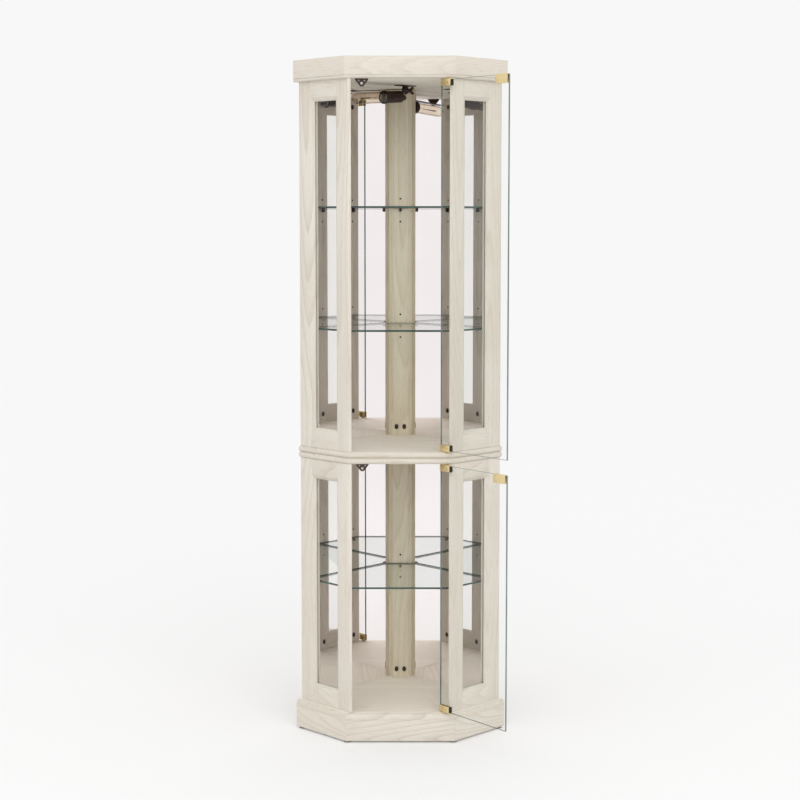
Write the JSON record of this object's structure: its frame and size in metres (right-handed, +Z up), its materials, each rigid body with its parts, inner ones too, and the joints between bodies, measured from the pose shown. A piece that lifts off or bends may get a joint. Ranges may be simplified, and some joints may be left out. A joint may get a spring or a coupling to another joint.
{
  "type": "corner curio cabinet",
  "caption": "Free-standing two-section corner display cabinet with framed glass sides, mirrored back, glass shelves, pivoting glass doors and a tubular lamp.",
  "frame": {"origin": "on the floor, midway between the left and right side corners and midway between the open doors' free edges and the flat rear face", "axes": "+Z up; -Y out of the front, through the doors; +X to the right as seen from the front, towards the door pivots"},
  "size_m": [0.57, 0.5744, 1.81],
  "materials": {
    "whitewashed_oak": "pale whitewashed open-grain oak, satin",
    "clear_glass": "clear float glass with polished green edges",
    "mirror_glass": "silvered mirror",
    "back_board": "thin fibreboard, matt",
    "brass": "polished brass plate",
    "brown_plastic": "dark brown moulded plastic",
    "dark_bronze": "dark bronze enamel",
    "bulb_glass": "clear bulb glass",
    "grey_glide": "grey nylon glide"
  },
  "bodies": {
    "cabinet": {"crown_front_rail": "whitewashed_oak", "crown_left_rail": "whitewashed_oak", "crown_right_rail": "whitewashed_oak", "crown_back_rails": "whitewashed_oak", "top_board": "whitewashed_oak", "ceiling_board": "whitewashed_oak", "upper_left_front_stile": "whitewashed_oak", "upper_left_rear_stile": "whitewashed_oak", "upper_left_top_rail": "whitewashed_oak", "upper_left_bottom_rail": "whitewashed_oak", "upper_left_pane": "clear_glass", "upper_right_front_stile": "whitewashed_oak", "upper_right_rear_stile": "whitewashed_oak", "upper_right_top_rail": "whitewashed_oak", "upper_right_bottom_rail": "whitewashed_oak", "upper_right_pane": "clear_glass", "lower_left_front_stile": "whitewashed_oak", "lower_left_rear_stile": "whitewashed_oak", "lower_left_top_rail": "whitewashed_oak", "lower_left_bottom_rail": "whitewashed_oak", "lower_left_pane": "clear_glass", "lower_right_front_stile": "whitewashed_oak", "lower_right_rear_stile": "whitewashed_oak", "lower_right_top_rail": "whitewashed_oak", "lower_right_bottom_rail": "whitewashed_oak", "lower_right_pane": "clear_glass", "upper_rear_post": "whitewashed_oak", "lower_rear_post": "whitewashed_oak", "upper_left_mirror": "mirror_glass", "upper_right_mirror": "mirror_glass", "lower_left_mirror": "mirror_glass", "lower_right_mirror": "mirror_glass", "upper_left_back_board": "back_board", "upper_right_back_board": "back_board", "lower_left_back_board": "back_board", "lower_right_back_board": "back_board", "upper_floor_board": "whitewashed_oak", "lower_top_board": "whitewashed_oak", "base_board": "whitewashed_oak", "plinth_front_rail": "whitewashed_oak", "plinth_left_rail": "whitewashed_oak", "plinth_right_rail": "whitewashed_oak", "plinth_back_rails": "whitewashed_oak", "feet": "grey_glide", "lower_shelf": "clear_glass", "middle_shelf": "clear_glass", "upper_shelf": "clear_glass", "shelf_pins": "brown_plastic", "pivot_bushes": "brass", "magnet_catches": "brown_plastic", "cam_bolts": "brown_plastic", "lamp_bracket": "dark_bronze", "lamp_socket": "dark_bronze", "lamp_bulb": "bulb_glass"},
    "upper_door": {"upper_door_glass": "clear_glass", "upper_door_hinges": "brass", "upper_door_handle": "brass"},
    "lower_door": {"lower_door_glass": "clear_glass", "lower_door_hinges": "brass", "lower_door_handle": "brass"}
  },
  "joints": [
    {"name": "upper_door_swing", "type": "hinge", "parent": "cabinet", "child": "upper_door", "pos_m": [0.1149, -0.10077, 0.781], "axis": [0, 0, 1], "range_deg": [-130, 3]},
    {"name": "lower_door_swing", "type": "hinge", "parent": "cabinet", "child": "lower_door", "pos_m": [0.1149, -0.10077, 0.081], "axis": [0, 0, 1], "range_deg": [-130, 3]}
  ]
}
